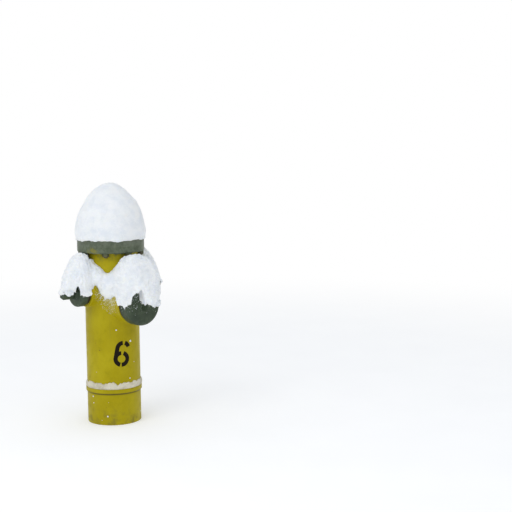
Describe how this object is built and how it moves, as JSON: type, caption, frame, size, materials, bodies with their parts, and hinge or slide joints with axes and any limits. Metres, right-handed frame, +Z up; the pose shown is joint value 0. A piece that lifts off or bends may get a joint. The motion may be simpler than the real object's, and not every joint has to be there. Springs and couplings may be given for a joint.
{
  "type": "fire hydrant",
  "caption": "Yellow dry-barrel fire hydrant with grey-green bonnet and caps, one pumper and two hose outlets, and snow heaped on it.",
  "frame": {"origin": "centre of the underside of the base, on the axis of the barrel", "axes": "+Z up along the barrel; -Y out of the pumper nozzle; -X and +X out of the two hose nozzles"},
  "size_m": [0.514, 0.4318, 1.02],
  "materials": {
    "yellow_paint": "weathered gloss paint on sand-cast iron",
    "green_paint": "weathered dark grey-green paint on sand-cast iron",
    "bronze": "cast and machined bronze",
    "steel": "turned steel",
    "zinc_steel": "weathered plated steel",
    "cast_iron": "bare cast iron",
    "rubber": "black rubber",
    "snow": "fresh settled snow",
    "old_snow": "old, granular, slightly yellowed snow"
  },
  "bodies": {
    "hydrant": {"valve_base": "yellow_paint", "seat_ring": "bronze", "stem_guide": "bronze", "barrel_gasket": "rubber", "upper_barrel": "yellow_paint", "bonnet_o_ring": "rubber", "nozzle_lock_screws": "steel", "pumper_nozzle": "bronze", "left_nozzle": "bronze", "right_nozzle": "bronze", "pumper_nozzle_gasket": "rubber", "left_nozzle_gasket": "rubber", "right_nozzle_gasket": "rubber", "bonnet": "green_paint", "oil_plug": "bronze", "bonnet_bolts": "zinc_steel", "bonnet_nuts": "zinc_steel", "seal_plate": "bronze", "stem_o_rings": "rubber", "thrust_washer": "bronze", "hold_down_nut": "bronze", "bonnet_snow": "snow", "collar_snow": "old_snow"},
    "operating_nut": {"operating_nut": "bronze", "weather_cap": "green_paint"},
    "stem": {"upper_stem": "steel", "lower_stem": "steel", "stem_coupling": "steel", "coupling_pins": "steel", "stem_sleeve": "bronze", "stop_nut": "steel", "upper_valve_plate": "cast_iron", "drain_facing": "rubber", "main_valve": "rubber", "lower_valve_plate": "cast_iron", "valve_lock_washer": "steel", "valve_cap_nut": "cast_iron"},
    "pumper_cap_travel": {"pumper_cap_gasket": "rubber", "pumper_cap_snow": "snow"},
    "pumper_cap": {"pumper_cap": "green_paint"},
    "left_cap_travel": {"left_cap_gasket": "rubber", "left_cap_snow": "snow"},
    "left_cap": {"left_cap": "green_paint"},
    "right_cap_travel": {"right_cap_gasket": "rubber", "right_cap_snow": "snow"},
    "right_cap": {"right_cap": "green_paint"}
  },
  "joints": [
    {"name": "operating_nut_turn", "type": "hinge", "parent": "hydrant", "child": "operating_nut", "pos_m": [0, 0, 0.95], "axis": [0, 0, 1], "range_deg": [0, 1800]},
    {"name": "stem_travel", "type": "slide", "parent": "hydrant", "child": "stem", "axis": [0, 0, -1], "range_m": [0, 0.03175]},
    {"name": "pumper_cap_slide", "type": "slide", "parent": "hydrant", "child": "pumper_cap_travel", "axis": [0, -1, 0], "range_m": [0, 0.04128]},
    {"name": "pumper_cap_turn", "type": "hinge", "parent": "pumper_cap_travel", "child": "pumper_cap", "pos_m": [0, -0.16, 0.519], "axis": [0, -1, 0], "range_deg": [0, 2340]},
    {"name": "left_cap_slide", "type": "slide", "parent": "hydrant", "child": "left_cap_travel", "axis": [-1, 0, 0], "range_m": [0, 0.02456]},
    {"name": "left_cap_turn", "type": "hinge", "parent": "left_cap_travel", "child": "left_cap", "pos_m": [-0.16, 0, 0.566], "axis": [-1, 0, 0], "range_deg": [0, 2610]},
    {"name": "right_cap_slide", "type": "slide", "parent": "hydrant", "child": "right_cap_travel", "axis": [1, 0, 0], "range_m": [0, 0.02456]},
    {"name": "right_cap_turn", "type": "hinge", "parent": "right_cap_travel", "child": "right_cap", "pos_m": [0.16, 0, 0.566], "axis": [1, 0, 0], "range_deg": [0, 2610]}
  ],
  "couplings": [
    {"joint": "stem_travel", "follows": "operating_nut_turn", "m_per_rad": 0.0010106},
    {"joint": "pumper_cap_slide", "follows": "pumper_cap_turn", "m_per_rad": 0.0010106},
    {"joint": "left_cap_slide", "follows": "left_cap_turn", "m_per_rad": 0.00053906},
    {"joint": "right_cap_slide", "follows": "right_cap_turn", "m_per_rad": 0.00053906}
  ]
}
